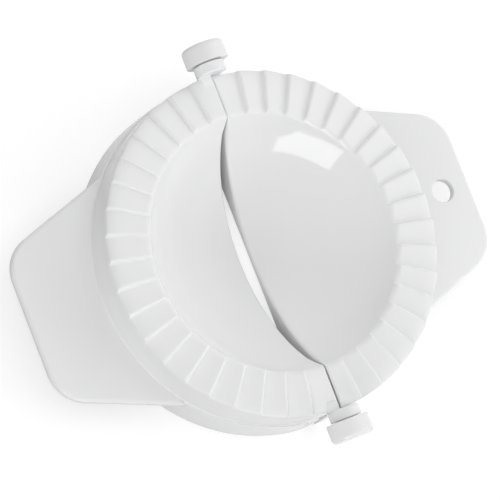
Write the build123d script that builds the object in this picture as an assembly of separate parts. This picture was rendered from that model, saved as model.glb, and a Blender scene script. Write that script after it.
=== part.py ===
from build123d import *
import math
import os

# Empanada press: two D-shaped plastic leaves on one hinge. Each leaf has half a bowl, a crimp
# rim of sawtooth panels, a skirt that it stands on and a flat handle. Millimetres, +Z up.
# X runs across the handles, Y along the hinge, and z = 0 is the skirts' lower edge. The base
# leaf lies on the +X side and the folding leaf on the -X side, both open flat.

# Driving dimensions
RIM_RADIUS = 76.2          # outer edge of the crimp rim
RIM_HEIGHT = 37.5          # middle of the tooth height, above the table
PANELS = 20                # crimp panels on each leaf
TOOTH_STEP = 2.2           # step from one panel to the next at the rim's outer edge
STEP_CLEARANCE_DEG = 0.3   # the folding leaf's steps sit this much earlier, so teeth mesh freely
WALL = 2.2                 # general wall of both mouldings
RIM_FLOOR = 1.8            # plastic left under the deepest point of a tooth
BOWL_RADIUS = 57.0         # inner ends of the crimp panels
BOWL_DEPTH = 34.2          # from the middle of the teeth to the bowl's deepest point
LIP_DROP = 1.3             # the bowl starts this far below the middle of the teeth
HINGE_GAP = 0.5            # each leaf's end face to the hinge plane, at rim height
DRAFT_DEG = 4.3            # slope of the hinge-side walls away from the hinge plane
SKIRT_TOP_RADIUS = 76.0    # the rim overhangs the skirt a little
LEDGE_INNER_RADIUS = 76.2
LEDGE_OUTER_RADIUS = 77.0
SKIRT_FOOT_RADIUS = 77.5
HANDLE_TOP = 17.25         # upper face of the handles, level with the skirt's ledge
HANDLE_THICKNESS = 4.0
HANDLE_REACH = 110.0       # hinge plane to the handle's outer edge
HANDLE_TIP_WIDTH = 65.2    # between the outer corners, before they are rounded
HANDLE_FLARE_DEG = 20.0    # each side edge widens by this angle towards the skirt
HANDLE_CORNER_RADIUS = 17.0
HANDLE_EDGE_RADIUS = 1.6   # rounding of the handle's upper edge
HANG_HOLE_X = 96.4
HANG_HOLE_RADIUS = 5.25
AXIS_ABOVE_TEETH = 0.4     # closed, the two rims stay twice this apart
POST_RADIUS = 4.95
EYE_BORE_RADIUS = 5.0
EYE_RADIUS = 6.9
EYE_INNER_Y = 76.6         # stations along the hinge, the same at both ends
EYE_OUTER_Y = 81.3
KNOB_INNER_Y = 82.1
POST_END_Y = 87.0
KNOB_OUTER_Y = 90.2
KNOB_RADIUS = 9.4
KNOB_OUTER_EDGE = 2.0      # rounding of the knob's outer end
KNOB_INNER_EDGE = 1.0      # and of the end towards the eye
ROOT_DROP = 0.7            # the hinge roots end this far below the middle of the teeth

# Worked out from them
HINGE_Z = RIM_HEIGHT + AXIS_ABOVE_TEETH
RIM_UNDERSIDE = RIM_HEIGHT - TOOTH_STEP / 2 - RIM_FLOOR
LIP_HEIGHT = RIM_HEIGHT - LIP_DROP
BOWL_BOTTOM = RIM_HEIGHT - BOWL_DEPTH
LIP_TO_BOTTOM = LIP_HEIGHT - BOWL_BOTTOM
BOWL_SPHERE = (BOWL_RADIUS**2 + LIP_TO_BOTTOM**2) / (2 * LIP_TO_BOTTOM)
SPHERE_Z = BOWL_BOTTOM + BOWL_SPHERE
OUTER_SPHERE = BOWL_SPHERE + WALL
PANEL_DEG = 180 / PANELS
PANEL_SLOPE = TOOTH_STEP / (2 * RIM_RADIUS * math.sin(math.radians(PANEL_DEG / 2)))
HALF_TURN = 180.0
REACH = 130.0              # larger than the press, for cutting bodies
HEADROOM = 6.0             # cutting bodies rise this far above the rim
OVERCUT = 1.0              # cutting bodies pass the faces they cut by this much

BASE, FOLDING = 1, -1      # which side of the hinge plane a leaf lies on
ENDS = {"front": -1, "rear": 1}


def turned(*outline):
    """Solid of revolution about Z from (radius, height) corners."""
    corners = [(radius, 0, height) for radius, height in outline]
    return revolve(make_face(Polyline(*corners, close=True)), Axis.Z, 360)


def across(*outline):
    """Prism that runs along Y, from (x, z) corners."""
    corners = [(x, 0, z) for x, z in outline]
    return extrude(make_face(Polyline(*corners, close=True)), REACH, dir=(0, 1, 0), both=True)


def hinge_face_x(height):
    """Distance of a leaf's hinge-side wall from the hinge plane at a height."""
    depth = max(RIM_HEIGHT - height, 0)
    return HINGE_GAP + depth * math.tan(math.radians(DRAFT_DEG))


def leaf_side(side):
    """Everything on one leaf's side of its drafted hinge face."""
    top = RIM_HEIGHT + HEADROOM
    return across(
        (side * hinge_face_x(-OVERCUT), -OVERCUT),
        (side * hinge_face_x(RIM_HEIGHT), RIM_HEIGHT),
        (side * HINGE_GAP, top),
        (side * REACH, top),
        (side * REACH, -OVERCUT),
    )


def envelope():
    """The leaf's outer form of revolution, filled in: skirt below, rim above."""
    return turned(
        (0, 0),
        (SKIRT_FOOT_RADIUS, 0),
        (LEDGE_OUTER_RADIUS, HANDLE_TOP),
        (LEDGE_INNER_RADIUS, HANDLE_TOP),
        (SKIRT_TOP_RADIUS, RIM_UNDERSIDE),
        (RIM_RADIUS, RIM_UNDERSIDE),
        (RIM_RADIUS, RIM_HEIGHT + HEADROOM),
        (0, RIM_HEIGHT + HEADROOM),
    )


def skirt_room():
    """The filled-in space inside the skirt, up to the rim's underside."""
    return turned(
        (0, 0),
        (SKIRT_FOOT_RADIUS - WALL, 0),
        (SKIRT_TOP_RADIUS - WALL, RIM_UNDERSIDE),
        (0, RIM_UNDERSIDE),
    )


def above(height):
    """Everything over a height."""
    return across((-REACH, height), (REACH, height), (REACH, REACH), (-REACH, REACH))


def bowl(side):
    """Half a spherical dish with an even wall, open at the top and at the hinge plane."""
    seam_radius = math.sqrt(OUTER_SPHERE**2 - (SPHERE_Z - RIM_UNDERSIDE) ** 2)
    seam = turned((0, 0), (seam_radius, 0), (seam_radius, RIM_UNDERSIDE), (0, RIM_UNDERSIDE))
    neck = turned((0, 0), (BOWL_RADIUS, 0), (BOWL_RADIUS, LIP_HEIGHT), (0, LIP_HEIGHT))
    centre = Pos(0, 0, SPHERE_Z)
    shell = centre * Sphere(OUTER_SPHERE) & (seam + neck)
    return (shell - centre * Sphere(BOWL_SPHERE)) & leaf_side(side)


def crimp_panel(side, index):
    """One flat panel, tilted about its own radial centre line."""
    late = 0 if side == BASE else STEP_CLEARANCE_DEG
    start = 0 if index == 0 else index * PANEL_DEG - late
    end = HALF_TURN if index == PANELS - 1 else (index + 1) * PANEL_DEG - late
    centre = math.radians((index + 0.5) * PANEL_DEG - late)
    sweep = [math.radians(angle) for angle in (start, (start + end) / 2, end)]

    def rim_point(radius, angle):
        """Angles count from the rear end of the hinge towards the front end."""
        return (side * radius * math.sin(angle), radius * math.cos(angle), RIM_UNDERSIDE)

    inner = [rim_point(BOWL_RADIUS, angle) for angle in sweep]
    outer = [rim_point(RIM_RADIUS, angle) for angle in sweep]
    outline = [
        ThreePointArc(*outer),
        Line(outer[-1], inner[-1]),
        ThreePointArc(*reversed(inner)),
        Line(inner[0], outer[0]),
    ]
    block = extrude(make_face(outline), HEADROOM, dir=(0, 0, 1))
    along = (side * math.sin(centre), math.cos(centre), 0)
    onward = (side * math.cos(centre), -math.sin(centre), 0)
    rise = -side * PANEL_SLOPE
    upward = (-rise * onward[0], -rise * onward[1], 1)
    face = Plane(origin=(0, 0, RIM_HEIGHT), x_dir=along, z_dir=upward)
    return split(block, bisect_by=face, keep=Keep.BOTTOM)


def crimp_rim(side):
    """All panels of one leaf, falling towards the front on the base and rising on the other."""
    panels = [crimp_panel(side, index) for index in range(PANELS)]
    return panels[0].fuse(*panels[1:]) & leaf_side(side)


def skirt(side):
    """Half-round wall under the rim, with a small ledge at handle height."""
    return (envelope() - skirt_room() - above(RIM_UNDERSIDE)) & leaf_side(side)


def hinge_web(side):
    """Flat wall that closes the leaf along the hinge, below the bowl and the rim."""
    slab = across(
        (side * hinge_face_x(0), 0),
        (side * (hinge_face_x(0) + WALL), 0),
        (side * (hinge_face_x(RIM_UNDERSIDE) + WALL), RIM_UNDERSIDE),
        (side * hinge_face_x(RIM_UNDERSIDE), RIM_UNDERSIDE),
    )
    return (slab & skirt_room()) - Pos(0, 0, SPHERE_Z) * Sphere(OUTER_SPHERE)


def handle(side, hang_hole):
    """Flat tongue with two large round corners, cut to fit the skirt."""
    root = RIM_RADIUS / 2
    half_tip = HANDLE_TIP_WIDTH / 2
    half_root = half_tip + (HANDLE_REACH - root) * math.tan(math.radians(HANDLE_FLARE_DEG))
    outline = make_face(Polyline(
        (root, -half_root), (HANDLE_REACH, -half_tip), (HANDLE_REACH, half_tip), (root, half_root),
        close=True,
    ))
    corners = outline.vertices().group_by(Axis.X)[-1]
    plate = extrude(fillet(corners, HANDLE_CORNER_RADIUS), HANDLE_THICKNESS)
    rounded = [edge for edge in plate.faces().sort_by(Axis.Z)[-1].edges()
               if edge.center().X > root + OVERCUT]
    plate = fillet(rounded, HANDLE_EDGE_RADIUS)
    if hang_hole:
        plate -= Pos(HANG_HOLE_X, 0, HANDLE_THICKNESS / 2) * Cylinder(
            HANG_HOLE_RADIUS, 2 * HANDLE_THICKNESS)
    if side == FOLDING:
        plate = mirror(plate, about=Plane.YZ)
    return Pos(0, 0, HANDLE_TOP - HANDLE_THICKNESS) * plate - envelope()


def hinge_rod(radius, end, inner_y, outer_y):
    """Round bar on the hinge axis between two stations at one end of the hinge."""
    middle = end * (inner_y + outer_y) / 2
    return Pos(0, middle, HINGE_Z) * Rot(90, 0, 0) * Cylinder(radius, outer_y - inner_y)


def hinge_root(side, end, radius):
    """Quarter-round pad that joins a post or an eye to its own leaf's corner."""
    top = RIM_HEIGHT - ROOT_DROP
    quarter = across(
        (side * hinge_face_x(0), 0), (side * REACH, 0), (side * REACH, top),
        (side * hinge_face_x(top), top),
    )
    bar = hinge_rod(radius, end, BOWL_RADIUS, EYE_INNER_Y)
    return (bar & quarter) - envelope()


def hinge_post(end):
    """Round post on the base leaf's corner, which the eye turns on and the knob is pressed on."""
    shank = hinge_rod(POST_RADIUS, end, EYE_INNER_Y, POST_END_Y)
    return shank + hinge_root(BASE, end, POST_RADIUS)


def hinge_eye(end):
    """Closed round eye on the folding leaf's corner."""
    ring = hinge_rod(EYE_RADIUS, end, EYE_INNER_Y, EYE_OUTER_Y)
    ring += hinge_root(FOLDING, end, EYE_RADIUS)
    return ring - hinge_rod(EYE_BORE_RADIUS, end, EYE_INNER_Y, EYE_OUTER_Y)


def hinge_knob(end):
    """Button-shaped cap with a blind bore, pressed on the end of a post."""
    disc = hinge_rod(KNOB_RADIUS, end, KNOB_INNER_Y, KNOB_OUTER_Y)
    outer = disc.edges().filter_by(GeomType.CIRCLE).sort_by(lambda edge: end * edge.center().Y)[-1]
    disc = fillet(outer, KNOB_OUTER_EDGE)
    inner = disc.edges().filter_by(GeomType.CIRCLE).sort_by(lambda edge: end * edge.center().Y)[0]
    disc = fillet(inner, KNOB_INNER_EDGE)
    return disc - hinge_rod(POST_RADIUS, end, KNOB_INNER_Y, POST_END_Y)


def build_parts():
    """Every node of the press by name."""
    nodes = {}
    for name, side in (("base", BASE), ("folding", FOLDING)):
        nodes[f"{name}_bowl"] = bowl(side)
        nodes[f"{name}_crimp_rim"] = crimp_rim(side)
        nodes[f"{name}_skirt"] = skirt(side)
        nodes[f"{name}_hinge_web"] = hinge_web(side)
        nodes[f"{name}_handle"] = handle(side, hang_hole=side == BASE)
    for name, end in ENDS.items():
        nodes[f"hinge_post_{name}"] = hinge_post(end)
        nodes[f"hinge_eye_{name}"] = hinge_eye(end)
        nodes[f"hinge_knob_{name}"] = hinge_knob(end)
    return nodes


os.makedirs("parts", exist_ok=True)
for node_name, solid in build_parts().items():
    export_step(solid, f"parts/{node_name}.step")
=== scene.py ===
import math

import bmesh
import bpy
import numpy as np
from mathutils import Matrix, Vector


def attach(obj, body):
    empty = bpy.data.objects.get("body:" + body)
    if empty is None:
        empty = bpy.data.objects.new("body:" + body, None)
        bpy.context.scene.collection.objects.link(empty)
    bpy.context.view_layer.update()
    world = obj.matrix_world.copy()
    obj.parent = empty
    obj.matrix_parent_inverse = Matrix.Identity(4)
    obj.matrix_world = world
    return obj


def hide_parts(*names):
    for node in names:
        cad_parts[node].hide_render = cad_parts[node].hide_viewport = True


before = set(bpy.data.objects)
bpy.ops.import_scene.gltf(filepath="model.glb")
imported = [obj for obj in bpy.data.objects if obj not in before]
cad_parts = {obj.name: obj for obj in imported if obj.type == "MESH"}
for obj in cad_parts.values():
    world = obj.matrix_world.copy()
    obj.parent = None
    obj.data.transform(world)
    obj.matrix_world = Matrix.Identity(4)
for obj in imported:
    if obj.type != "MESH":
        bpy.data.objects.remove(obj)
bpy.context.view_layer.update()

# Empanada press, open flat. Lengths are in millimetres up to new_piece, which writes metres.
# X runs across the handles, Y along the hinge. One leaf shape serves both sides: it is made on
# the +X side, and the folding leaf is that shape turned half round about Z, with its steps a little
# later round the rim, so that the teeth mesh freely.
MM = 0.001
BASE, FOLDING = 1, -1
ENDS = {"front": -1, "rear": 1}

# Sizes of the mouldings, the same as in the CAD source
RIM_RADIUS = 76.2
RIM_HEIGHT = 37.5
PANELS = 20
TOOTH_STEP = 2.2
STEP_CLEARANCE = math.radians(0.3)
WALL = 2.2
RIM_FLOOR = 1.8
BOWL_RADIUS = 57.0
BOWL_DEPTH = 34.2
DRAFT = math.radians(4.3)
SKIRT_TOP_RADIUS = 76.0
LEDGE_INNER_RADIUS = 76.2
LEDGE_OUTER_RADIUS = 77.0
SKIRT_FOOT_RADIUS = 77.5
HANDLE_TOP = 17.25
HANDLE_THICKNESS = 4.0
HANDLE_REACH = 110.0
HANDLE_TIP_WIDTH = 65.2
HANDLE_FLARE = math.radians(20.0)
HANDLE_CORNER_RADIUS = 17.0
HANG_HOLE_X = 96.4
HANG_HOLE_RADIUS = 5.25
AXIS_ABOVE_TEETH = 0.4
POST_RADIUS = 4.95
EYE_BORE_RADIUS = 5.0
EYE_RADIUS = 6.9
EYE_INNER_Y = 76.6
EYE_OUTER_Y = 81.3
KNOB_INNER_Y = 82.1
POST_END_Y = 87.0
KNOB_OUTER_Y = 90.2
KNOB_RADIUS = 9.4
KNOB_OUTER_EDGE = 2.0

# Sizes that differ a little from the CAD's
EDGE_DROP = 0.4            # from the middle of the teeth down to the bowl's edge, before its rounding
HINGE_GAP_FRONT = 0.34     # from each leaf to the hinge plane, at the two ends of the rim
HINGE_GAP_REAR = 0.02
KNOB_INNER_EDGE = 0.4
KNOB_REACH = 0.4           # the caps come this much nearer to the eyes
POST_SHORT = 0.05          # the posts stop this far before the caps' bores end
HANDLE_LIFT = 0.02         # the handles lie this far above the ledge, so that no faces coincide
INSIDE = 0.01              # the knobs stay this far inside their true size

# Worked out from them
HINGE_Z = RIM_HEIGHT + AXIS_ABOVE_TEETH
RIM_UNDERSIDE = RIM_HEIGHT - TOOTH_STEP / 2 - RIM_FLOOR
LIP_HEIGHT = RIM_HEIGHT - EDGE_DROP
BOWL_BOTTOM = RIM_HEIGHT - BOWL_DEPTH
LIP_TO_BOTTOM = LIP_HEIGHT - BOWL_BOTTOM
BOWL_SPHERE = (BOWL_RADIUS**2 + LIP_TO_BOTTOM**2) / (2 * LIP_TO_BOTTOM)
SPHERE_Z = BOWL_BOTTOM + BOWL_SPHERE
OUTER_SPHERE = BOWL_SPHERE + WALL
SEAM_RADIUS = math.sqrt(OUTER_SPHERE**2 - (SPHERE_Z - RIM_UNDERSIDE) ** 2)
PANEL_ANGLE = math.pi / PANELS
PANEL_SLOPE = TOOTH_STEP / (2 * RIM_RADIUS * math.sin(PANEL_ANGLE / 2))

# Roundings of the moulded edges
CREST_RADIUS = 1.5         # at the rim's outer edge; it shrinks inwards with the step
STEP_FOOT_RADIUS = 0.15
STEP_FACE_LEAN = math.radians(24.0)
LIP_RADIUS = 3.0           # between the bowl and the panels
RIM_EDGE_WIDTH = 6.0       # the rim falls off gently and then turns down at its outer edge
RIM_EDGE_FALL = 1.5
LEDGE_FILLET = 0.5
LEDGE_EDGE_RADIUS = 0.3
FOOT_RADIUS = 0.4
BOWL_EDGE_RADIUS = 1.8     # along the hinge, grown over the next length
BOWL_EDGE_GROWTH = 6.0
SIDE_RADIUS = 1.0          # the rim's edge beside the hinge, grown over the next length
SIDE_GROWTH = 3.0
SIDE_INNER_MARGIN = 0.5    # it starts this far inside the bowl's edge
SIDE_OUTER_MARGIN = 0.6    # and ends this far inside the rim's outer edge
END_EDGE_RADIUS = 0.3      # the other edges of the hinge wall
HANDLE_EDGE_RADIUS = 1.6
HANDLE_LOWER_RADIUS = 0.6
HOLE_EDGE_RADIUS = 0.6
EYE_EDGE_RADIUS = 0.9
EYE_BORE_EDGE = 0.3
POST_EDGE_RADIUS = 0.3
CAP_BORE_EDGE = 0.1
CAP_MOUTH_EDGE = 0.2
SHARP = 0.02               # where a round piece ends inside another

# How finely the surfaces are divided
FOOT_POINTS = 4
CREST_POINTS = 9
SUPPORT = 0.45             # distance of a holding line from the start of a rounding
HOLD = 0.15                # the same on a turned profile
CREASE_HOLD = 0.4          # and beside a sharp corner inside the skirt
PANEL_COLUMNS = 3
WEB_COLUMN = 3             # this column of the leaf's grid lies on the inner face of the hinge wall
BOWL_ROWS = 46
DISH_SPREAD = 0.8          # this power draws a dish's rows a little more towards its edge
WALL_ROUNDS = 3            # a dish's line on the hinge wall settles in so many rounds
ROUND_STEPS = 7
OUTER_EDGE_STEPS = 10
LIP_STEPS = 9
TEETH_START = 0.8          # this power lets the teeth rise a little early over the lip
PANEL_ROWS = 4
PANEL_ROWS_START = 2.5     # outside the lip's centre line
SKIRT_ROWS = 7
LOWER_ROWS = 5
SKIRT_MARGIN = 1.0         # rows on a straight part stay this far from its ends
LOWER_MARGIN = 3.0
LOWEST_ROW = 2.0           # heights of rows on the lower part of the skirt and inside it
CAVITY_ROWS = (5.0, 30.0)
LEDGE_STEPS = 5
TURN_STEPS = 72
CORNER_STEPS = 24
SIDE_STEPS = 12
ROOT_STEPS = 41
HOLE_STEPS = 64
WELD = 2e-6                # metres


def arc(start, end, count):
    """Angles in radians from start to end degrees."""
    return np.radians(np.linspace(start, end, count))


def smooth_step(value):
    """0 below 0, 1 above 1, with a smooth cubic between."""
    value = np.clip(value, 0, 1)
    return value * value * (3 - 2 * value)


def hinge_face_x(height, rearwards):
    """Distance of a leaf's hinge-side wall from the hinge plane: a plane that leans away below the
    rim and comes closer towards the rear."""
    share = 0.5 + rearwards / (2 * RIM_RADIUS)
    gap = HINGE_GAP_FRONT + (HINGE_GAP_REAR - HINGE_GAP_FRONT) * share
    return gap + (RIM_HEIGHT - height) * math.tan(DRAFT)


# ---------------------------------------------------------------- meshes


class Skin:
    """Gathers grids and flat faces into one mesh, whose touching borders are welded at the end."""

    def __init__(self):
        self.points = []
        self.quads = []
        self.flats = []
        self.count = 0

    def add_points(self, points):
        """Stores points of any grid shape and returns their numbers in that same shape."""
        flat = np.reshape(points, (-1, 3))
        numbers = np.arange(self.count, self.count + len(flat)).reshape(points.shape[:-1])
        self.points.append(flat)
        self.count += len(flat)
        return numbers

    def grid(self, points, wrap_rows=False, wrap_columns=False):
        """Covers a rows-by-columns grid of points with quads; a wrapped direction closes on itself."""
        numbers = self.add_points(points)
        if wrap_rows:
            numbers = np.concatenate([numbers, numbers[:1]], axis=0)
        if wrap_columns:
            numbers = np.concatenate([numbers, numbers[:, :1]], axis=1)
        corners = (numbers[:-1, :-1], numbers[1:, :-1], numbers[1:, 1:], numbers[:-1, 1:])
        self.quads.append(np.stack(corners, axis=-1).reshape(-1, 4))

    def flat(self, loop):
        """Closes a plane loop with one flat face."""
        self.flats.append(self.add_points(loop).tolist())

    def mesh(self, name, half_turned=False):
        """Welds the borders, points every face outwards and returns the mesh, in metres."""
        points = np.concatenate(self.points) * MM
        if half_turned:
            points = points * (-1, -1, 1)
        faces = np.concatenate(self.quads).tolist() + self.flats
        mesh = bpy.data.meshes.new(name)
        mesh.from_pydata(points.tolist(), [], faces)
        flat_faces = np.arange(len(faces)) >= len(faces) - len(self.flats)
        mesh.polygons.foreach_set("use_smooth", ~flat_faces)
        work = bmesh.new()
        work.from_mesh(mesh)
        bmesh.ops.remove_doubles(work, verts=work.verts, dist=WELD)
        bmesh.ops.dissolve_degenerate(work, edges=work.edges, dist=WELD)
        loose = [vertex for vertex in work.verts if not vertex.link_faces]
        bmesh.ops.delete(work, geom=loose, context="VERTS")
        bmesh.ops.recalc_face_normals(work, faces=work.faces)
        work.to_mesh(mesh)
        work.free()
        mesh.validate()
        return mesh


def new_piece(skin, name, body, material, replaced, half_turned=False):
    """Puts a finished skin into the scene as one piece of a body, in place of CAD nodes."""
    piece = bpy.data.objects.new(name, skin.mesh(name, half_turned))
    bpy.context.scene.collection.objects.link(piece)
    piece.data.materials.append(material)
    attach(piece, body)
    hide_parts(*replaced)


def turned_about_hinge(profile, end, steps=TURN_STEPS):
    """Profile of (radius, station) points turned about the hinge axis: x = r cos a, z = axis + r sin a,
    and the station is measured along Y towards one end of the hinge."""
    angle = np.linspace(0, 2 * math.pi, steps, endpoint=False)
    radius, station = np.asarray(profile, float).T
    across = radius[:, None] * np.cos(angle)
    height = HINGE_Z + radius[:, None] * np.sin(angle)
    along = np.broadcast_to(end * station[:, None], across.shape)
    return np.stack([across, along, height], axis=-1)


SMALLEST_RADIUS = 1e-4
SMALLEST_STEP = 1e-9


def rounded_profile(corners, radii, steps=ROUND_STEPS):
    """Closed (radius, station) outline with each corner replaced by an arc tangent to its two sides,
    and a holding point on the side before and after each arc. An arc point is
    centre + radius * (unit vector swept from one side's normal to the other's)."""
    corners = np.asarray(corners, float)
    before = np.roll(corners, 1, axis=0) - corners
    after = np.roll(corners, -1, axis=0) - corners
    before /= np.linalg.norm(before, axis=1, keepdims=True)
    after /= np.linalg.norm(after, axis=1, keepdims=True)
    half_angle = np.arccos(np.clip((before * after).sum(1), -1, 1)) / 2
    radii = np.maximum(np.asarray(radii, float), SMALLEST_RADIUS)
    start = corners + before * (radii / np.tan(half_angle))[:, None]
    middle = before + after
    middle /= np.linalg.norm(middle, axis=1, keepdims=True)
    centre = corners + middle * (radii / np.sin(half_angle))[:, None]
    first = start - centre
    end = corners + after * (radii / np.tan(half_angle))[:, None]
    last = end - centre
    share = np.linspace(0, 1, steps)[None, :, None]
    sweep = (math.pi - 2 * half_angle)[:, None, None]
    weight_first = np.sin((1 - share) * sweep) / np.sin(sweep)
    weight_last = np.sin(share * sweep) / np.sin(sweep)
    points = centre[:, None] + weight_first * first[:, None] + weight_last * last[:, None]
    held_start = start + before * HOLD
    held_end = end + after * HOLD
    return np.concatenate([held_start[:, None], points, held_end[:, None]], axis=1).reshape(-1, 2)


def pole_to_pole(corners, radii):
    """Rounded (radius, station) outline that starts and ends in a pole on the axis: its first and
    last corners are kept as single points."""
    outline = rounded_profile(corners, radii)[ROUND_STEPS + 1:-ROUND_STEPS - 1]
    return np.concatenate([corners[:1], outline, corners[-1:]])


# ---------------------------------------------------------------- crimp rim


def step_section(radius):
    """Section through one step between two crimp panels, in order of growing angle: the low end of
    one panel, a small foot fillet, the leaning step face, the rounded crest, the high start of the
    next. Each rounding is an arc: centre plus radius times the normal of a heading that turns from
    the face to the panel. Returns the distance before the step and the height above the mean plane."""
    half_step = PANEL_SLOPE * radius * math.sin(PANEL_ANGLE / 2)
    slope = PANEL_SLOPE * math.cos(PANEL_ANGLE / 2)
    lean = math.tan(STEP_FACE_LEAN)
    panel_heading = math.atan(slope)
    face_heading = STEP_FACE_LEAN - math.pi / 2
    tangent = math.tan((panel_heading - face_heading) / 2)
    crest_z = half_step * (1 - slope * lean) / (1 + slope * lean)
    crest_u = -(crest_z + half_step) * lean

    foot = STEP_FOOT_RADIUS
    foot_heading = np.linspace(panel_heading, face_heading, FOOT_POINTS)
    foot_u = -foot * tangent * math.cos(face_heading) - foot * math.sin(face_heading)
    foot_z = -foot * tangent * math.sin(face_heading) + foot * math.cos(face_heading)
    foot_arc_u = foot_u + foot * np.sin(foot_heading)
    foot_arc_z = foot_z - foot * np.cos(foot_heading)

    # Along the crest every length is a share of its rounding, which grows with the radius
    crest = CREST_RADIUS * radius / RIM_RADIUS
    crest_heading = np.linspace(face_heading, panel_heading, CREST_POINTS)
    centre_u = -tangent * math.cos(panel_heading) + math.sin(panel_heading)
    centre_z = -tangent * math.sin(panel_heading) - math.cos(panel_heading)
    crest_arc_u = centre_u - np.sin(crest_heading)
    crest_arc_z = centre_z + np.cos(crest_heading)

    low_u = foot_arc_u[0] + SUPPORT
    high_u = crest_arc_u[-1] * crest[:, -1:] - SUPPORT
    before_step = np.concatenate([
        np.broadcast_to(np.concatenate([[low_u], foot_arc_u]), (len(radius), FOOT_POINTS + 1)),
        crest_arc_u * crest[:, :CREST_POINTS] + crest_u[:, :CREST_POINTS],
        high_u + crest_u[:, -1:]], axis=1)
    height = np.concatenate([
        np.concatenate([[slope * low_u], foot_arc_z]) - half_step[:, :FOOT_POINTS + 1],
        crest_arc_z * crest[:, :CREST_POINTS] + crest_z[:, :CREST_POINTS],
        slope * high_u + crest_z[:, -1:]], axis=1)
    return before_step, height


SECTION_POINTS = FOOT_POINTS + CREST_POINTS + 2
FIRST_GAP = WEB_COLUMN + 3


def column_layout():
    """Numbers of the first column of each step's section, and the panel that each column lies on."""
    starts = FIRST_GAP + np.arange(PANELS - 1) * (SECTION_POINTS + PANEL_COLUMNS)
    total = starts[-1] + SECTION_POINTS + FIRST_GAP
    panel = np.searchsorted(starts + FOOT_POINTS + 1, np.arange(total), side="right")
    return starts, total, panel


STEP_STARTS, COLUMNS, COLUMN_PANEL = column_layout()


def around(radius, height, late, rounding, side):
    """Angle of every column at each row and the tooth height there. Step columns follow the step's
    section; the first column keeps the end rounding's distance from the hinge wall, WEB_COLUMN the
    wall's thickness, and the others are spaced evenly between. A panel's height above the mean
    plane is -slope * radius * sin(angle past its centre line); the panels beside the hinge have half
    that slope, so that both leaves are level where they meet."""
    theta = np.zeros_like(radius)
    tooth = np.zeros_like(radius)
    known = [0, WEB_COLUMN]
    for number, start in enumerate(STEP_STARTS):
        span = slice(start, start + SECTION_POINTS)
        before_step, tooth[:, span] = step_section(np.minimum(radius[:, span], RIM_RADIUS))
        theta[:, span] = (number + 1) * PANEL_ANGLE + late - before_step / radius[:, span]
        known += range(start, start + SECTION_POINTS)
    for column, inset in ((0, rounding), (WEB_COLUMN, WALL)):
        other = COLUMNS - 1 - column
        near_x = hinge_face_x(height[:, 0], side * radius[:, column])
        far_x = hinge_face_x(height[:, -1], -side * radius[:, other])
        theta[:, column] = np.arcsin((near_x + inset) / radius[:, column])
        theta[:, other] = math.pi - np.arcsin((far_x + inset) / radius[:, other])
        known.append(other)
    known = np.unique(known)
    for left, right in zip(known[:-1], known[1:]):
        share = np.arange(1, right - left) / (right - left)
        theta[:, left + 1:right] = theta[:, [left]] + (theta[:, [right]] - theta[:, [left]]) * share
    centre = (COLUMN_PANEL + 0.5) * PANEL_ANGLE + late
    on_panel = np.ones(COLUMNS, bool)
    for start in STEP_STARTS:
        on_panel[start + 1:start + SECTION_POINTS - 1] = False
    flat_height = -PANEL_SLOPE * radius * np.sin(theta - centre)
    edge_height = PANEL_SLOPE * radius * math.sin(PANEL_ANGLE / 2)
    flat_height = np.where(COLUMN_PANEL == 0, (flat_height - edge_height) / 2, flat_height)
    flat_height = np.where(COLUMN_PANEL == PANELS - 1, (flat_height + edge_height) / 2, flat_height)
    return theta, np.where(on_panel, flat_height, tooth)


def at(radius, theta, height):
    """Points at a radius, an angle counted from the rear end of the hinge, and a height."""
    shape = np.broadcast_shapes(np.shape(radius), np.shape(theta), np.shape(height))
    parts = (radius * np.sin(theta), radius * np.cos(theta), height)
    return np.stack([np.broadcast_to(part, shape) for part in parts], axis=-1)


def rim_rows(late, side):
    """Rows over the crimp rim from the bowl outwards. The lip is an arc tangent to the bowl's sphere
    and to the rim's mean plane: its centre lies its radius below the plane and its radius outside the
    sphere, and it sweeps from the direction of the sphere's centre to straight up, while the teeth
    grow from nothing to their full height. The outer edge is a quarter ellipse. The rounding beside
    the hinge wall grows from the bowl to the rim and shrinks again before the outer edge."""
    centre_z = RIM_HEIGHT - LIP_RADIUS
    reach = BOWL_SPHERE + LIP_RADIUS
    centre_radius = math.sqrt(reach**2 - (SPHERE_Z - centre_z) ** 2)
    first = math.atan2(SPHERE_Z - centre_z, -centre_radius)
    sweep = first + (math.pi / 2 - first) * np.linspace(0, 1, LIP_STEPS)
    growth = smooth_step(np.linspace(0, 1, LIP_STEPS) ** TEETH_START)[:, None]
    beta = arc(0, 90, OUTER_EDGE_STEPS)
    outer_start = RIM_RADIUS - RIM_EDGE_WIDTH
    radius = np.concatenate([
        centre_radius + LIP_RADIUS * np.cos(sweep),
        [centre_radius + SUPPORT],
        np.linspace(centre_radius + PANEL_ROWS_START, outer_start - SUPPORT, PANEL_ROWS),
        RIM_RADIUS - RIM_EDGE_WIDTH * (1 - np.sin(beta)),
    ])
    past_bowl = smooth_step((radius - BOWL_RADIUS + SIDE_INNER_MARGIN) / SIDE_GROWTH)
    before_edge = smooth_step((RIM_RADIUS - SIDE_OUTER_MARGIN - radius) / SIDE_GROWTH)
    rounding = END_EDGE_RADIUS + (SIDE_RADIUS - END_EDGE_RADIUS) * past_bowl * before_edge
    radius = np.repeat(radius[:, None], COLUMNS, axis=1)
    theta, tooth = around(radius, np.full_like(radius, RIM_HEIGHT), late, rounding, side)
    height = RIM_HEIGHT + tooth
    height[:LIP_STEPS] = centre_z + LIP_RADIUS * np.sin(sweep)[:, None] + tooth[:LIP_STEPS] * growth
    height[-len(beta):] -= RIM_EDGE_FALL * (1 - np.cos(beta))[:, None]
    return at(radius, theta, height)


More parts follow.
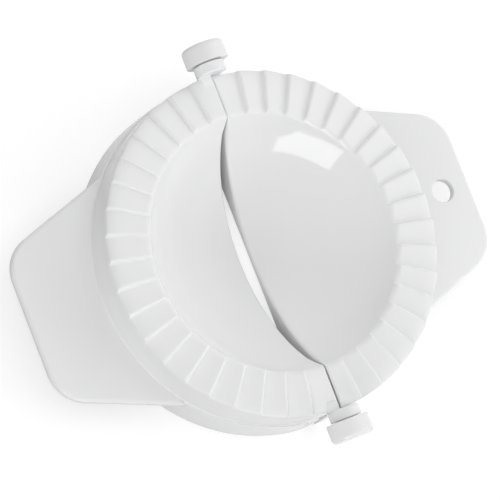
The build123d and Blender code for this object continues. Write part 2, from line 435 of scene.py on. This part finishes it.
def skirt_outline():
    """(radius, height) down the outside of the skirt: the wall, over the ledge and down to the
    foot's inner edge. Each corner is a quarter arc, centre plus radius * (cos a, sin a)."""
    quarter = arc(0, 90, LEDGE_STEPS)
    top_row = RIM_UNDERSIDE - SKIRT_MARGIN
    heights = np.linspace(top_row, HANDLE_TOP + LEDGE_FILLET + SKIRT_MARGIN, SKIRT_ROWS)
    upper = np.stack([np.full_like(heights, LEDGE_INNER_RADIUS), heights], axis=1)
    fillet = np.stack([
        LEDGE_INNER_RADIUS + LEDGE_FILLET * (1 - np.cos(quarter)),
        HANDLE_TOP + LEDGE_FILLET * (1 - np.sin(quarter))], axis=1)
    edge = np.stack([
        LEDGE_OUTER_RADIUS - LEDGE_EDGE_RADIUS * (1 - np.sin(quarter)),
        HANDLE_TOP - LEDGE_EDGE_RADIUS * (1 - np.cos(quarter))], axis=1)
    low = HANDLE_TOP - LEDGE_EDGE_RADIUS
    even_rows = np.linspace(low - LOWER_MARGIN, LOWEST_ROW, LOWER_ROWS)
    heights = np.concatenate([[low - SUPPORT], even_rows, [FOOT_RADIUS + SUPPORT]])
    share = (low - heights) / (low - FOOT_RADIUS)
    radii = LEDGE_OUTER_RADIUS + (SKIRT_FOOT_RADIUS - LEDGE_OUTER_RADIUS) * share
    lower = np.stack([radii, heights], axis=1)
    foot = np.stack([
        SKIRT_FOOT_RADIUS - FOOT_RADIUS * (1 - np.cos(quarter)),
        FOOT_RADIUS * (1 - np.sin(quarter))], axis=1)
    inner_radius = SKIRT_FOOT_RADIUS - WALL
    inner = [(inner_radius + CREASE_HOLD, 0), (inner_radius, 0)]
    return np.concatenate([upper, fillet, edge, lower, foot, inner])


def cavity_outline():
    """(radius, height) from the foot's inner edge up the inside of the skirt and along the rim's
    underside to the seam with the bowl: two straight lines."""
    low, high = SKIRT_FOOT_RADIUS - WALL, SKIRT_TOP_RADIUS - WALL
    heights = np.concatenate([
        [0, CREASE_HOLD], np.linspace(*CAVITY_ROWS, LOWER_ROWS),
        [RIM_UNDERSIDE - CREASE_HOLD, RIM_UNDERSIDE]])
    inside = np.stack([low + (high - low) * heights / RIM_UNDERSIDE, heights], axis=1)
    even_rows = np.linspace(high - LOWER_MARGIN, SEAM_RADIUS + LOWER_MARGIN, PANEL_ROWS)
    radii = np.concatenate([[high - CREASE_HOLD], even_rows, [SEAM_RADIUS]])
    under = np.stack([radii, np.full_like(radii, RIM_UNDERSIDE)], axis=1)
    return np.concatenate([inside, under])


def turned_rows(outline, late, side):
    """An outline of (radius, height) carried round the leaf through all its columns."""
    radius, height = (np.repeat(part[:, None], COLUMNS, axis=1) for part in outline.T)
    theta, _ = around(radius, height, late, END_EDGE_RADIUS, side)
    return at(radius, theta, height)


def dish(edge, sphere, inset, side):
    """Half of a spherical dish from its edge row to the hinge wall. A column runs straight, in plan,
    from its edge point to a point on the wall; the wall points are as far apart as the edge angles.
    Height is sphere centre - sqrt(sphere radius^2 - x^2 - y^2)."""
    angle = np.arctan2(edge[:, 0], edge[:, 1])
    place = (angle - angle[0]) / (angle[-1] - angle[0])
    wall_y = edge[0, 1] + (edge[-1, 1] - edge[0, 1]) * place
    wall_x = edge[0, 0] + (edge[-1, 0] - edge[0, 0]) * place
    for _ in range(WALL_ROUNDS):
        wall_z = SPHERE_Z - np.sqrt(sphere**2 - wall_x**2 - wall_y**2)
        wall_x = hinge_face_x(wall_z, side * wall_y) + inset(wall_y)
    wall_x[[0, -1]] = edge[[0, -1], 0]
    wall_y[[0, -1]] = edge[[0, -1], 1]
    share = np.sin(arc(90, 0, BOWL_ROWS))[:, None] ** DISH_SPREAD
    x = wall_x + share * (edge[:, 0] - wall_x)
    y = wall_y + share * (edge[:, 1] - wall_y)
    return np.stack([x, y, SPHERE_Z - np.sqrt(sphere**2 - x**2 - y**2)], axis=-1)


def bowl_edge_radius(y):
    """Rounding of the bowl's edge along the hinge: full in the middle, small at the rim's corners."""
    full = smooth_step((BOWL_RADIUS - SIDE_INNER_MARGIN - np.abs(y)) / BOWL_EDGE_GROWTH)
    return END_EDGE_RADIUS + (BOWL_EDGE_RADIUS - END_EDGE_RADIUS) * full


def loop_normals(loop):
    """Outward normals, in the plane of the hinge wall, of a leaf's outline that runs from the rear
    foot over the rim and the bowl to the front foot: each segment's direction (y, z) turned to
    (z, -y), and averaged over the two segments that meet at a point."""
    step = np.diff(loop[:, 1:], axis=0)
    step /= np.maximum(np.linalg.norm(step, axis=1, keepdims=True), SMALLEST_STEP)
    normal = np.stack([step[:, 1], -step[:, 0]], axis=1)
    joined = np.concatenate([normal[:1], normal[:-1] + normal[1:], normal[-1:]])
    return joined / np.linalg.norm(joined, axis=1, keepdims=True)


def leaf_skin(late, side):
    """One leaf's moulding: bowl, crimp rim, skirt and hinge wall as one closed skin."""
    skin = Skin()
    rim = rim_rows(late, side)
    skirt = turned_rows(skirt_outline(), late, side)
    outer = np.concatenate([rim, skirt])
    skin.grid(outer)
    bowl = dish(outer[0], BOWL_SPHERE, bowl_edge_radius, side)
    skin.grid(bowl)

    cavity = turned_rows(cavity_outline(), late, side)[:, WEB_COLUMN:COLUMNS - WEB_COLUMN]
    skin.grid(cavity)
    under_bowl = dish(cavity[-1], OUTER_SPHERE, lambda y: WALL, side)
    skin.grid(under_bowl)

    # Rounded edge of the hinge wall: inwards from the outline along its normal by
    # radius * (1 - cos a), and towards the hinge plane by radius * sin a, for a from 0 to 90 degrees.
    # In the bowl the normal points to the sphere's centre.
    loop = np.concatenate([outer[::-1, 0], bowl[-1, 1:-1], outer[:, -1]])
    normal = loop_normals(loop)
    bowl_part = slice(len(outer), len(outer) + COLUMNS - 2)
    towards = np.stack([-loop[:, 1], SPHERE_Z - loop[:, 2]], axis=1) / BOWL_SPHERE
    normal[bowl_part] = towards[bowl_part]
    normal[[0, -1]] = (0, -1)
    inset = loop[:, 0] - hinge_face_x(loop[:, 2], side * loop[:, 1])
    rounds = []
    for angle in arc(0, 90, ROUND_STEPS + 1):
        y = loop[:, 1] - normal[:, 0] * inset * (1 - math.cos(angle))
        z = loop[:, 2] - normal[:, 1] * inset * (1 - math.cos(angle))
        x = hinge_face_x(z, side * y) + inset * (1 - math.sin(angle))
        rounds.append(np.stack([x, y, z], axis=-1))
    skin.grid(np.array(rounds), wrap_columns=True)
    skin.flat(rounds[-1])
    inner_wall = np.concatenate([cavity[:, 0], under_bowl[-1, 1:-1], cavity[::-1, -1]])
    skin.flat(inner_wall)
    foot = skirt[-1]
    skin.flat(np.concatenate([foot[:WEB_COLUMN + 1], foot[COLUMNS - 1 - WEB_COLUMN:]]))
    return skin


# ---------------------------------------------------------------- handles


def handle_outline(inset):
    """Outline of the handle at a distance inside its true edge, as (points, 2): root arc on the
    skirt wall, one side, corner arc, tip, corner arc, other side. A corner arc keeps its centre and
    its radius shrinks by the inset; a side moves in parallel."""
    half_tip = HANDLE_TIP_WIDTH / 2
    along = np.array([math.cos(HANDLE_FLARE), -math.sin(HANDLE_FLARE)])
    outward = np.array([math.sin(HANDLE_FLARE), math.cos(HANDLE_FLARE)])
    side_distance = np.dot(outward, (HANDLE_REACH, half_tip))
    centre_x = HANDLE_REACH - HANDLE_CORNER_RADIUS
    centre_y = (side_distance - HANDLE_CORNER_RADIUS - outward[0] * centre_x) / outward[1]
    distance = side_distance - inset
    root_corner = outward * distance + along * math.sqrt(RIM_RADIUS**2 - distance**2)
    turn = np.linspace(math.pi / 2 - HANDLE_FLARE, 0, CORNER_STEPS)
    corner = np.stack([
        centre_x + (HANDLE_CORNER_RADIUS - inset) * np.cos(turn),
        centre_y + (HANDLE_CORNER_RADIUS - inset) * np.sin(turn)], axis=1)
    share = np.linspace(0, 1, SIDE_STEPS)[:-1, None]
    side = root_corner + share * (corner[0] - root_corner)
    tip = np.array([[HANDLE_REACH - inset, 0]])
    half = np.concatenate([side, corner, tip])
    spread = math.atan2(root_corner[1], root_corner[0])
    root = np.linspace(-spread, spread, ROOT_STEPS)[ROOT_STEPS // 2:-1]
    middle = np.stack([RIM_RADIUS * np.cos(root), RIM_RADIUS * np.sin(root)], axis=1)
    upper = np.concatenate([middle, half])
    lower = upper[-2:0:-1] * (1, -1)
    return np.concatenate([upper, lower]), len(upper)


def plate_edge(top, low, upper_radius, lower_radius, upper_steps=ROUND_STEPS):
    """Section through the edge of a plate, from its upper to its lower face, as distances from the
    edge and heights. At an angle a, a rounding of radius r lies r (1 - cos a) from the edge and
    r (1 - sin a) from the face."""
    above = arc(90, 0, upper_steps)
    below = arc(0, 90, ROUND_STEPS)
    distances = np.concatenate([
        [upper_radius + SUPPORT], upper_radius * (1 - np.cos(above)),
        lower_radius * (1 - np.cos(below)), [lower_radius + SUPPORT]])
    heights = np.concatenate([
        [top], top - upper_radius * (1 - np.sin(above)),
        low + lower_radius * (1 - np.sin(below)), [low]])
    return distances, heights


def handle_skin(hang_hole):
    """Flat tongue: the plate's edge section carried round the outline, closed above and below. The
    hang hole is the same kind of section carried round a circle, x = centre + r cos a, y = r sin a,
    and then each face is closed in two halves that meet on the line through the hole."""
    skin = Skin()
    top, low = HANDLE_TOP + HANDLE_LIFT, HANDLE_TOP - HANDLE_THICKNESS
    rows = []
    section = plate_edge(top, low, HANDLE_EDGE_RADIUS, HANDLE_LOWER_RADIUS, ROUND_STEPS + 2)
    for inset, height in zip(*section):
        outline, half = handle_outline(inset)
        rows.append(np.column_stack([outline, np.full(len(outline), height)]))
    skin.grid(np.array(rows), wrap_columns=True)
    if not hang_hole:
        skin.flat(rows[0])
        skin.flat(rows[-1])
        return skin
    outset, height = plate_edge(top, low, HOLE_EDGE_RADIUS, HOLE_EDGE_RADIUS)
    turn = np.linspace(0, 2 * math.pi, HOLE_STEPS, endpoint=False)
    radius = (HANG_HOLE_RADIUS + outset)[:, None]
    bore = np.stack(np.broadcast_arrays(
        HANG_HOLE_X + radius * np.cos(turn), radius * np.sin(turn), height[:, None]), axis=-1)
    skin.grid(bore, wrap_columns=True)
    half_ring = HOLE_STEPS // 2
    for row, ring in ((rows[0], bore[0]), (rows[-1], bore[-1])):
        skin.flat(np.concatenate([row[:half], ring[:half_ring + 1]]))
        skin.flat(np.concatenate([row[half - 1:], row[:1], ring[half_ring:], ring[:1]]))
    return skin


# ---------------------------------------------------------------- hinge parts


PAD_INSET = 0.02           # a pad's disc is this much smaller than its eye or post
PAD_OVERLAP = 0.1          # and the pad runs this far into it along Y
PAD_SINK = 0.01            # its flat side stays this far behind the face of the hinge wall
PAD_CEILING = 0.9          # share of the disc's radius above the axis that it may fill
PAD_CORNER_RADIUS = 1.2
PAD_SIDE_START = 1.3       # its round side starts this far down the disc from the top
PAD_SIDE_END = -0.5        # and ends at this angle from the horizontal, in radians
PAD_SIDE_STEPS = 5
PAD_ROUND_STEPS = 4
PAD_FILLET_STEPS = 6
PAD_HOLDS = np.array([0.3, 0.05])   # rows this far before the fillet keep the pad level
EYE_PAD_CLEARANCE = 0.04   # below the end panel's plane
POST_PAD_CLEARANCE = 1.6
EYE_PAD_FILLET = 1.0


def pad_section(side, end, station, lift, radius, clearance):
    """Section of a pad at one station, as closed (distance from the hinge plane, height): the part of
    a disc round the hinge axis that lies on the leaf's own side and below the end panel. The top is
    the end panel's own plane, level at the hinge with half the other panels' slope, lowered by the
    clearance and raised by the lift."""
    slope = end * side * PANEL_SLOPE / 2
    ceiling = HINGE_Z + PAD_CEILING * radius

    def top(x):
        return min(RIM_HEIGHT - slope * x - clearance + lift, ceiling)

    corner_z = top(radius) - HINGE_Z
    corner_x = math.sqrt(radius**2 - corner_z**2)
    start = math.asin(corner_z / radius) - PAD_SIDE_START / radius
    turn = np.linspace(start, PAD_SIDE_END, PAD_SIDE_STEPS)
    round_side = np.stack([radius * np.cos(turn), HINGE_Z + radius * np.sin(turn)], axis=1)
    lowest = round_side[-1, 1]
    near = hinge_face_x(RIM_HEIGHT, end * station) + PAD_SINK
    under = hinge_face_x(lowest, end * station) + PAD_SINK
    outline = np.concatenate([
        [(near, top(near)), (corner_x, top(corner_x))], round_side, [(under, lowest)]])
    radii = np.full(len(outline), SHARP / 2)
    radii[:2] = SIDE_RADIUS, PAD_CORNER_RADIUS
    return rounded_profile(outline, radii, PAD_ROUND_STEPS)


def root_pad(skin, side, end, radius, clearance, fillet=0.0):
    """Pad between a leaf's corner and its post or eye: its section carried along Y from inside the
    rim. Next to the eye it rises through a concave quarter arc, r sin a along Y and r (1 - cos a)
    in height."""
    radius -= PAD_INSET
    turn = arc(0, 90, PAD_FILLET_STEPS)
    begin = EYE_INNER_Y - fillet
    stations = np.concatenate([
        [RIM_RADIUS - RIM_EDGE_WIDTH], begin - PAD_HOLDS, begin + fillet * np.sin(turn),
        [EYE_INNER_Y + PAD_OVERLAP]])
    lifts = np.concatenate([[0, 0, 0], fillet * (1 - np.cos(turn)), [fillet]])
    rows = []
    for station, lift in zip(stations, lifts):
        outline = pad_section(side, end, station, lift, radius, clearance)
        along = np.full(len(outline), end * station)
        rows.append(np.column_stack([side * outline[:, 0], along, outline[:, 1]]))
    skin.grid(np.array(rows), wrap_columns=True)
    skin.flat(rows[0])
    skin.flat(rows[-1])


def eye_skin(end):
    """Round eye of the folding leaf: a ring with rounded edges, turned about the hinge axis."""
    skin = Skin()
    ring = rounded_profile(
        [(EYE_BORE_RADIUS, EYE_INNER_Y), (EYE_RADIUS, EYE_INNER_Y), (EYE_RADIUS, EYE_OUTER_Y),
         (EYE_BORE_RADIUS, EYE_OUTER_Y)],
        [SHARP, EYE_EDGE_RADIUS, EYE_EDGE_RADIUS / 2, EYE_BORE_EDGE])
    skin.grid(turned_about_hinge(ring, end), wrap_rows=True, wrap_columns=True)
    root_pad(skin, FOLDING, end, EYE_RADIUS, EYE_PAD_CLEARANCE, EYE_PAD_FILLET)
    return skin


def post_skin(end):
    """Round post of the base leaf, turned about the hinge axis from pole to pole."""
    skin = Skin()
    tip = POST_END_Y - POST_SHORT
    profile = pole_to_pole(
        [(0, EYE_INNER_Y), (POST_RADIUS, EYE_INNER_Y), (POST_RADIUS, tip), (0, tip)],
        [0, SHARP, POST_EDGE_RADIUS, 0])
    skin.grid(turned_about_hinge(profile, end), wrap_columns=True)
    root_pad(skin, BASE, end, POST_RADIUS, POST_PAD_CLEARANCE)
    return skin


def knob_skin(end):
    """Button cap: a short cylinder with rounded edges and a blind bore for the post, turned about the
    hinge axis from pole to pole."""
    skin = Skin()
    radius = KNOB_RADIUS - INSIDE
    inner = KNOB_INNER_Y - KNOB_REACH
    outer = KNOB_OUTER_Y - INSIDE
    profile = pole_to_pole(
        [(0, POST_END_Y), (POST_RADIUS, POST_END_Y), (POST_RADIUS, inner), (radius, inner),
         (radius, outer), (0, outer)],
        [0, CAP_BORE_EDGE, CAP_MOUTH_EDGE, KNOB_INNER_EDGE, KNOB_OUTER_EDGE, 0])
    skin.grid(turned_about_hinge(profile, end), wrap_columns=True)
    return skin


# ---------------------------------------------------------------- materials


PLASTIC_IOR = 1.5
LEAF_WHITE = (0.865, 0.866, 0.872)
LEAF_SHADE = (0.850, 0.851, 0.858)
LEAF_ROUGHNESS = 0.065
LEAF_RELIEF = 0.00012      # metres
KNOB_WHITE = (0.868, 0.868, 0.872)
KNOB_SHADE = (0.852, 0.852, 0.857)
KNOB_ROUGHNESS = 0.12
KNOB_RELIEF = 0.00008
DUST_COLOUR = (0.62, 0.61, 0.58)

# Scales of the patterns, in cells to the metre
WAVE_SCALE = 38.0
CLOUD_SCALE = 16.0
GRAIN_SCALE = 1900.0
PATCH_SCALE = 30.0
SCRATCH_SCALE = 9.0
ALONG_STRETCH = (7.0, 320.0, 7.0)
ALONG_TURN = 0.6           # radians
ACROSS_STRETCH = (7.0, 290.0, 7.0)
ACROSS_TURN = 2.2
SPECK_SCALE = 240.0
SCATTER_SCALE = 75.0

# Between which values each pattern rises from nothing to full
NOISE_RANGE = (0.3, 0.7)
PATCH_RANGE = (0.48, 0.66)
ALONG_RANGE = (0.70, 0.76)
ACROSS_RANGE = (0.71, 0.77)
SCATTER_RANGE = (0.62, 0.68)
SPECK_RANGE = (0.02, 0.05)      # a speck is full at its centre and fades out between these

# How strongly each pattern shows
GRAIN_HEIGHT = 0.004       # against the walls' waves of 1
SCRATCH_HEIGHT = 0.02
GRAIN_ROUGHNESS = (0.85, 1.2)   # shares of the plastic's own roughness
SCRATCH_ROUGHNESS = 0.18
SPECK_ROUGHNESS = 0.3
SPECK_COLOUR = 0.25


def add_node(tree, kind, **values):
    """Adds a node, sets the inputs named in values (with _ for a space) and returns it."""
    node = tree.nodes.new(kind)
    for name, value in values.items():
        node.inputs[name.replace("_", " ")].default_value = value
    return node


def scaled(tree, source, low, high, new_low=0.0, new_high=1.0):
    """Output of a Map Range node that carries low..high to new_low..new_high, clamped."""
    node = add_node(
        tree, "ShaderNodeMapRange", From_Min=low, From_Max=high, To_Min=new_low, To_Max=new_high)
    tree.links.new(source, node.inputs["Value"])
    return node.outputs["Result"]


def combined(tree, operation, *sources):
    """Output of a Math node on two or three sources, each a socket or a number."""
    node = tree.nodes.new("ShaderNodeMath")
    node.operation = operation
    for place, source in enumerate(sources):
        if isinstance(source, (int, float)):
            node.inputs[place].default_value = source
        else:
            tree.links.new(source, node.inputs[place])
    return node.outputs["Value"]


def noise(tree, place, scale, detail=2.0, stretch=None, turn=0.0):
    """Factor of a noise texture; stretch squeezes the pattern along X and Y after a turn about Z."""
    texture = add_node(tree, "ShaderNodeTexNoise", Scale=scale, Detail=detail)
    if stretch:
        mapping = add_node(tree, "ShaderNodeMapping", Scale=stretch, Rotation=(0, 0, turn))
        tree.links.new(place, mapping.inputs["Vector"])
        place = mapping.outputs["Vector"]
    tree.links.new(place, texture.inputs["Vector"])
    return texture.outputs["Fac"]


def node_group(name, outputs):
    """Empty shader node group with a Vector input and float outputs. Returns the tree, the input's
    socket and the group's output node."""
    tree = bpy.data.node_groups.new(name, "ShaderNodeTree")
    tree.interface.new_socket("Vector", in_out="INPUT", socket_type="NodeSocketVector")
    for output in outputs:
        tree.interface.new_socket(output, in_out="OUTPUT", socket_type="NodeSocketFloat")
    entry = tree.nodes.new("NodeGroupInput")
    return tree, entry.outputs["Vector"], tree.nodes.new("NodeGroupOutput")


def moulded_surface():
    """How the mould leaves the plastic: walls uneven over a few centimetres, with faint flow clouds
    and a very fine grain. Height is for the bump, Grain for the roughness and Tone for the colour.
    Height is grain * its height + waves."""
    tree, place, result = node_group("moulded_surface", ("Height", "Grain", "Tone"))
    waves = noise(tree, place, WAVE_SCALE, 1.0)
    clouds = noise(tree, place, CLOUD_SCALE, 3.0)
    grain = noise(tree, place, GRAIN_SCALE)
    height = combined(tree, "MULTIPLY_ADD", grain, GRAIN_HEIGHT, waves)
    tree.links.new(height, result.inputs["Height"])
    tree.links.new(scaled(tree, grain, *NOISE_RANGE), result.inputs["Grain"])
    tree.links.new(scaled(tree, clouds, *NOISE_RANGE), result.inputs["Tone"])
    return tree


def handling_marks():
    """Traces of use: hair scratches in two directions, each the peaks of a stretched noise, gathered
    in loose patches, and a few specks of dust, each a disc round a cell's centre. Scratches and
    Specks say how much of each is on a spot, from 0 to 1."""
    tree, place, result = node_group("handling_marks", ("Scratches", "Specks"))
    patches = scaled(tree, noise(tree, place, PATCH_SCALE), *PATCH_RANGE)
    along = noise(tree, place, SCRATCH_SCALE, 1.0, ALONG_STRETCH, ALONG_TURN)
    across = noise(tree, place, SCRATCH_SCALE, 1.0, ACROSS_STRETCH, ACROSS_TURN)
    along = scaled(tree, along, *ALONG_RANGE)
    across = scaled(tree, across, *ACROSS_RANGE)
    lines = combined(tree, "MAXIMUM", along, across)
    tree.links.new(combined(tree, "MULTIPLY", lines, patches), result.inputs["Scratches"])
    cells = add_node(tree, "ShaderNodeTexVoronoi", Scale=SPECK_SCALE)
    tree.links.new(place, cells.inputs["Vector"])
    specks = scaled(tree, cells.outputs["Distance"], *SPECK_RANGE, 1.0, 0.0)
    scatter = scaled(tree, noise(tree, place, SCATTER_SCALE, 1.0), *SCATTER_RANGE)
    tree.links.new(combined(tree, "MULTIPLY", specks, scatter), result.inputs["Specks"])
    return tree


def gloss_plastic(name, groups, light, shade, roughness, relief):
    """Glossy white moulded plastic. The clouds mix the two colours, grain and marks roughen the
    gloss, and both give the bump its height."""
    material = bpy.data.materials.new(name)
    material.use_nodes = True
    tree = material.node_tree
    shader = tree.nodes["Principled BSDF"]
    shader.inputs["IOR"].default_value = PLASTIC_IOR
    place = tree.nodes.new("ShaderNodeTexCoord").outputs["Object"]
    effects = []
    for group in groups:
        effect = tree.nodes.new("ShaderNodeGroup")
        effect.node_tree = group
        tree.links.new(place, effect.inputs["Vector"])
        effects.append(effect)
    surface, marks = effects

    colour = tree.nodes.new("ShaderNodeMix")
    colour.data_type = "RGBA"
    colour.inputs["A"].default_value = (*light, 1)
    colour.inputs["B"].default_value = (*shade, 1)
    tree.links.new(surface.outputs["Tone"], colour.inputs["Factor"])
    dusty = tree.nodes.new("ShaderNodeMix")
    dusty.data_type = "RGBA"
    dusty.inputs["B"].default_value = (*DUST_COLOUR, 1)
    tree.links.new(colour.outputs["Result"], dusty.inputs["A"])
    dust_share = combined(tree, "MULTIPLY", marks.outputs["Specks"], SPECK_COLOUR)
    tree.links.new(dust_share, dusty.inputs["Factor"])
    tree.links.new(dusty.outputs["Result"], shader.inputs["Base Color"])

    smoothest, roughest = (roughness * share for share in GRAIN_ROUGHNESS)
    spread = scaled(tree, surface.outputs["Grain"], 0.0, 1.0, smoothest, roughest)
    worn = combined(tree, "MULTIPLY", marks.outputs["Scratches"], SCRATCH_ROUGHNESS)
    dust = combined(tree, "MULTIPLY", marks.outputs["Specks"], SPECK_ROUGHNESS)
    rough = combined(tree, "ADD", combined(tree, "ADD", spread, worn), dust)
    tree.links.new(rough, shader.inputs["Roughness"])

    scratch_depth = combined(tree, "MULTIPLY", marks.outputs["Scratches"], SCRATCH_HEIGHT)
    height = combined(tree, "SUBTRACT", surface.outputs["Height"], scratch_depth)
    bump = add_node(tree, "ShaderNodeBump", Strength=1.0, Distance=relief)
    tree.links.new(height, bump.inputs["Height"])
    tree.links.new(bump.outputs["Normal"], shader.inputs["Normal"])
    return material


# ---------------------------------------------------------------- stage, light and camera


CAMERA_PLACE = (-527.89, -124.34, 1108.79)
CAMERA_RIGHT = (0.8563, -0.3609, 0.3696)
CAMERA_FORWARD = (0.4307, 0.1038, -0.8965)
CAMERA_LENS = 203.15
SENSOR = 36.0
NEAR_CLIP = 0.05           # metres
FAR_CLIP = 20.0
FLOOR_REACH = 4.0          # metres
FLOOR_ROUGHNESS = 0.9
FLOOR_TONE = 0.5           # grey of the floor, and how much the camera sees it lifted
FLOOR_LIFT = 0.58
MIRRORED_TONE = 0.95       # the same two for what gloss and clear plastic show of it
MIRRORED_LIFT = 0.12
LAMP_DISTANCE = 1.6

# Round the press: azimuth and elevation in degrees, width and height in metres, watts. The walls of
# a light tent give the soft light; the gloss mirrors only the window between them.
TENT = (
    ("left_wall", 180, 55, 2.0, 2.0, 13.7),
    ("right_wall", 0, 55, 2.0, 2.0, 11.8),
    ("back_wall", 90, 55, 2.0, 2.0, 2.3),
    ("low_left", 239.5, 15.5, 1.26, 0.85, 10.8),
    ("low_right", 330, 20, 1.4, 0.8, 10.7),
    ("low_back_left", 125, 32, 1.6, 1.2, 2.8),
    ("low_back_right", 48, 18, 1.6, 0.8, 6.8),
)
WINDOW = ("window", 239.5, 11.0, 1.26, 0.74, 10.8)


def make_camera():
    """Camera above and to the left of the press, rolled so that the hinge runs down to the right."""
    data = bpy.data.cameras.new("camera")
    data.lens = CAMERA_LENS
    data.sensor_width = SENSOR
    data.sensor_fit = "HORIZONTAL"
    data.clip_start = NEAR_CLIP
    data.clip_end = FAR_CLIP
    back = -Vector(CAMERA_FORWARD).normalized()
    right = Vector(CAMERA_RIGHT)
    right = (right - back * right.dot(back)).normalized()
    up = back.cross(right)
    camera = bpy.data.objects.new("camera", data)
    axes = Matrix((right, up, back)).transposed()
    camera.matrix_world = Matrix.Translation(Vector(CAMERA_PLACE) * MM) @ axes.to_4x4()
    bpy.context.scene.collection.objects.link(camera)
    bpy.context.scene.camera = camera


def soft_box(name, azimuth, elevation, width, height, watts, mirrored):
    """Rectangular soft lamp on a sphere round the press, turned towards its centre. It either lights
    the press softly or is mirrored in its gloss."""
    data = bpy.data.lights.new(name, "AREA")
    data.shape = "RECTANGLE"
    data.size = width
    data.size_y = height
    data.energy = watts
    around_z, up = math.radians(azimuth), math.radians(elevation)
    place = LAMP_DISTANCE * Vector((
        math.cos(up) * math.cos(around_z), math.cos(up) * math.sin(around_z), math.sin(up)))
    lamp = bpy.data.objects.new(name, data)
    aim = (-place).to_track_quat("-Z", "Y")
    lamp.matrix_world = Matrix.Translation(place) @ aim.to_matrix().to_4x4()
    lamp.visible_glossy = mirrored
    lamp.visible_diffuse = not mirrored
    bpy.context.scene.collection.objects.link(lamp)


def mirrored_rays(tree, path):
    """1 for a ray that gloss or clear plastic sends on, 0 for any other."""
    return combined(tree, "MAXIMUM", path.outputs["Is Glossy Ray"], path.outputs["Is Transmission Ray"])


def make_stage():
    """Pale floor that keeps the shadow of the press. The camera sees it lifted to white; glossy and
    transmission rays see it as white where nothing shades it; the light that it throws back on the
    press is that of a pale grey floor."""
    mesh = bpy.data.meshes.new("floor")
    corners = [(-FLOOR_REACH, -FLOOR_REACH, 0), (FLOOR_REACH, -FLOOR_REACH, 0),
               (FLOOR_REACH, FLOOR_REACH, 0), (-FLOOR_REACH, FLOOR_REACH, 0)]
    mesh.from_pydata(corners, [], [(0, 1, 2, 3)])
    floor = bpy.data.objects.new("floor", mesh)
    bpy.context.scene.collection.objects.link(floor)
    material = bpy.data.materials.new("floor_white")
    material.use_nodes = True
    tree = material.node_tree
    shader = tree.nodes["Principled BSDF"]
    shader.inputs["Roughness"].default_value = FLOOR_ROUGHNESS
    path = tree.nodes.new("ShaderNodeLightPath")
    mirrored = mirrored_rays(tree, path)
    tone = tree.nodes.new("ShaderNodeMix")
    tone.data_type = "RGBA"
    tone.inputs["A"].default_value = (*[FLOOR_TONE] * 3, 1)
    tone.inputs["B"].default_value = (*[MIRRORED_TONE] * 3, 1)
    tree.links.new(mirrored, tone.inputs["Factor"])
    tree.links.new(tone.outputs["Result"], shader.inputs["Base Color"])
    shader.inputs["Emission Color"].default_value = (1, 1, 1, 1)
    camera_lift = combined(tree, "MULTIPLY", path.outputs["Is Camera Ray"], FLOOR_LIFT)
    mirrored_lift = combined(tree, "MULTIPLY", mirrored, MIRRORED_LIFT)
    lift = combined(tree, "ADD", camera_lift, mirrored_lift)
    tree.links.new(lift, shader.inputs["Emission Strength"])
    mesh.materials.append(material)


def make_world():
    """White surroundings for the camera and for what the gloss mirrors; the lamps give the light."""
    world = bpy.data.worlds.new("studio")
    bpy.context.scene.world = world
    world.use_nodes = True
    tree = world.node_tree
    background = tree.nodes["Background"]
    background.inputs["Color"].default_value = (1, 1, 1, 1)
    path = tree.nodes.new("ShaderNodeLightPath")
    seen = combined(tree, "MAXIMUM", path.outputs["Is Camera Ray"], mirrored_rays(tree, path))
    tree.links.new(seen, background.inputs["Strength"])


# ---------------------------------------------------------------- the press


def build_press():
    """Every visible piece of both leaves."""
    groups = (moulded_surface(), handling_marks())
    white = gloss_plastic(
        "leaf_gloss_plastic", groups, LEAF_WHITE, LEAF_SHADE, LEAF_ROUGHNESS, LEAF_RELIEF)
    cap_white = gloss_plastic(
        "knob_gloss_plastic", groups, KNOB_WHITE, KNOB_SHADE, KNOB_ROUGHNESS, KNOB_RELIEF)
    for side, name, late in ((BASE, "base", 0.0), (FOLDING, "folding", STEP_CLEARANCE)):
        body = f"{name}_leaf"
        turned = side == FOLDING
        shell_nodes = [f"{name}_bowl", f"{name}_crimp_rim", f"{name}_skirt", f"{name}_hinge_web"]
        handle = handle_skin(hang_hole=side == BASE)
        new_piece(leaf_skin(late, side), f"{name}_leaf_shell", body, white, shell_nodes, turned)
        new_piece(handle, f"{name}_handle_plate", body, white, [f"{name}_handle"], turned)
    for name, end in ENDS.items():
        eye, post, knob = eye_skin(end), post_skin(end), knob_skin(end)
        new_piece(eye, f"eye_{name}", "folding_leaf", white, [f"hinge_eye_{name}"])
        new_piece(post, f"post_{name}", "base_leaf", white, [f"hinge_post_{name}"])
        new_piece(knob, f"knob_{name}", "base_leaf", cap_white, [f"hinge_knob_{name}"])


make_camera()
make_stage()
make_world()
for wall in TENT:
    soft_box(*wall, mirrored=False)
soft_box(*WINDOW, mirrored=True)
build_press()
bpy.context.scene.view_settings.view_transform = "Standard"
